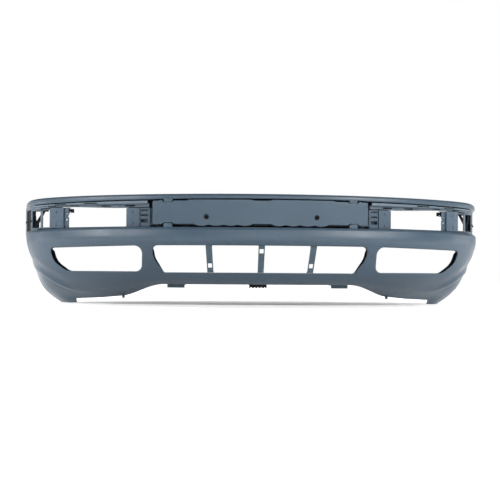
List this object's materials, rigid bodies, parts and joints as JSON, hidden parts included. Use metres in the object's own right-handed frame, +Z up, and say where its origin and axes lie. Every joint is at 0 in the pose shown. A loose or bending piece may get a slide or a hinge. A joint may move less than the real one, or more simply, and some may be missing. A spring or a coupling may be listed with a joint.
{
  "type": "bumper cover",
  "caption": "Moulded front bumper cover that wraps round the nose, with lamp windows, number plate panel, split lower grille, side vents and swinging lamp catches.",
  "frame": {"origin": "under the middle of the part, halfway between nose and wheel arch ends, level with the lowest corners", "axes": "+X to the right as seen from in front of the car, +Y backwards into the car, +Z up"},
  "size_m": [1.7198, 0.5692, 0.383],
  "materials": {
    "primer": "blue grey primer on polypropylene, satin",
    "dark_primer": "thin primer on ribbed mouldings, dull",
    "black_plastic": "unpainted black polypropylene, grained",
    "black_rubber": "soft black grommet, matt",
    "steel": "zinc plated"
  },
  "bodies": {
    "cover": {"cover_skin": "primer", "plate_panel": "primer", "plate_grommet_left": "black_rubber", "plate_grommet_right": "black_rubber", "trim_rail_left": "dark_primer", "trim_rail_right": "dark_primer", "lamp_bracket_left": "primer", "lamp_bracket_right": "primer", "lamp_post_left": "primer", "lamp_post_right": "primer", "catch_pin_left": "steel", "catch_pin_right": "steel", "corner_guide_left": "black_plastic", "corner_guide_right": "black_plastic", "fender_slide_left": "black_plastic", "fender_slide_right": "black_plastic", "grille_strut_centre": "dark_primer", "grille_strut_left": "dark_primer", "grille_strut_right": "dark_primer", "tray_clip_centre": "black_plastic", "tray_clip_left": "dark_primer", "tray_clip_right": "dark_primer", "flange_nut_1_left": "steel", "flange_nut_1_right": "steel", "flange_nut_2_left": "steel", "flange_nut_2_right": "steel", "bracket_rivet_1_left": "primer", "bracket_rivet_1_right": "primer", "bracket_rivet_2_left": "primer", "bracket_rivet_2_right": "primer", "post_rivet_1_left": "primer", "post_rivet_1_right": "primer", "post_rivet_2_left": "primer", "post_rivet_2_right": "primer", "rail_rivet_1_left": "dark_primer", "rail_rivet_1_right": "dark_primer", "rail_rivet_2_left": "dark_primer", "rail_rivet_2_right": "dark_primer", "slide_rivet_1_left": "black_plastic", "slide_rivet_1_right": "black_plastic", "slide_rivet_2_left": "black_plastic", "slide_rivet_2_right": "black_plastic"},
    "catch_left": {"lamp_catch_left": "black_plastic"},
    "catch_right": {"lamp_catch_right": "black_plastic"}
  },
  "joints": [
    {"name": "lamp_catch_right_hinge", "type": "hinge", "parent": "cover", "child": "catch_right", "pos_m": [0.67449, -0.00427, 0.3325], "axis": [0, 0, -1], "range_deg": [0, 30], "stiffness_Nm_per_rad": 0.02, "springref_deg": -8.59},
    {"name": "lamp_catch_left_hinge", "type": "hinge", "parent": "cover", "child": "catch_left", "pos_m": [-0.67449, -0.00427, 0.3325], "axis": [0, 0, 1], "range_deg": [0, 30], "stiffness_Nm_per_rad": 0.02, "springref_deg": -8.59}
  ]
}
